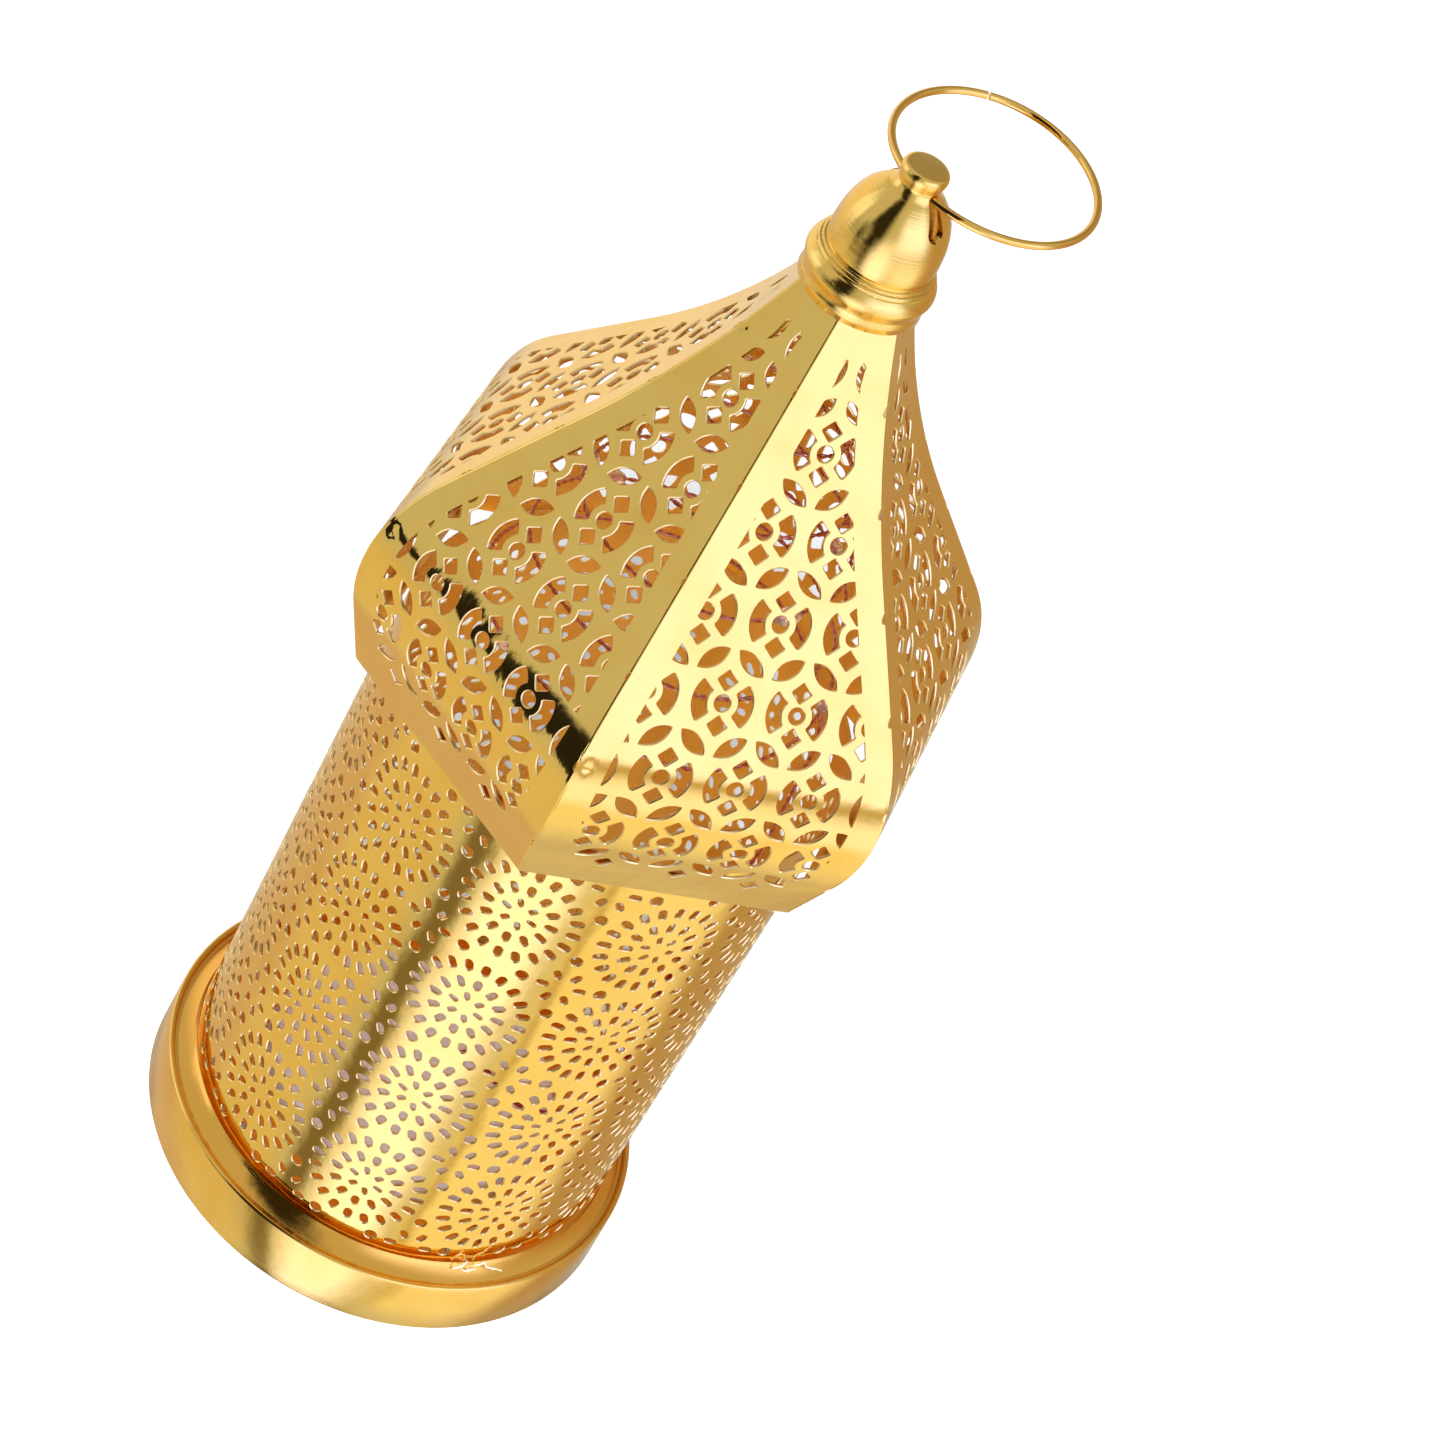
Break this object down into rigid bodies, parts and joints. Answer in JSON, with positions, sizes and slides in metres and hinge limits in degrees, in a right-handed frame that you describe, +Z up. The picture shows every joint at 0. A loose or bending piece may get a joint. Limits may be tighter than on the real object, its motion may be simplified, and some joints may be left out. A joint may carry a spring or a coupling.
{
  "type": "hanging lantern",
  "caption": "Hanging lantern: perforated tube on a round base, six-sided onion-shaped shade, spun cap with a wire ring, and a battery light string inside.",
  "frame": {"origin": "centre of the base's bottom edge, on the surface the lantern stands on", "axes": "+Z up along the lantern's axis; a corner of the six-sided shade points along -Y and one shade face looks along +X"},
  "size_m": [0.1034, 0.1194, 0.2667],
  "materials": {
    "gold_plate": "polished plated sheet",
    "white_plastic": "semi-gloss moulded",
    "black_plastic": "satin moulded",
    "bright_steel": "nickel plated",
    "cell_wrap": "printed wrap, left plain",
    "resistor_lacquer": "lacquer",
    "red_sleeve": "soft insulated sleeve",
    "enamelled_copper": "clear enamel over copper",
    "clear_resin": "clear resin",
    "hot_glue": "translucent glue"
  },
  "bodies": {
    "lantern": {"base_pan": "gold_plate", "body_tube": "gold_plate", "shade_panel_1": "gold_plate", "shade_panel_2": "gold_plate", "shade_panel_3": "gold_plate", "shade_panel_4": "gold_plate", "shade_panel_5": "gold_plate", "shade_panel_6": "gold_plate", "shade_welds": "gold_plate", "cap": "gold_plate", "battery_box": "white_plastic", "switch_body": "black_plastic", "battery_1": "cell_wrap", "battery_2": "cell_wrap", "battery_3": "cell_wrap", "contact_plates": "bright_steel", "contact_springs": "bright_steel", "resistor": "resistor_lacquer", "lead_wire": "red_sleeve", "light_string": "enamelled_copper", "string_bulbs": "clear_resin", "glue_beads": "hot_glue"},
    "ring": {"hanging_ring": "gold_plate"},
    "lid": {"battery_lid": "white_plastic", "lid_screw": "bright_steel"},
    "slider": {"switch_slider": "black_plastic"}
  },
  "joints": [
    {"name": "ring_swing", "type": "hinge", "parent": "lantern", "child": "ring", "pos_m": [0, 0, 0.2627], "axis": [0.8572, -0.515, 0], "range_deg": [-62, 238]},
    {"name": "lid_release", "type": "slide", "parent": "lantern", "child": "lid", "axis": [0, 0, -1], "range_m": [0, 0.03]},
    {"name": "switch_slide", "type": "slide", "parent": "lantern", "child": "slider", "axis": [0, 1, 0], "range_m": [0, 0.0025]}
  ]
}
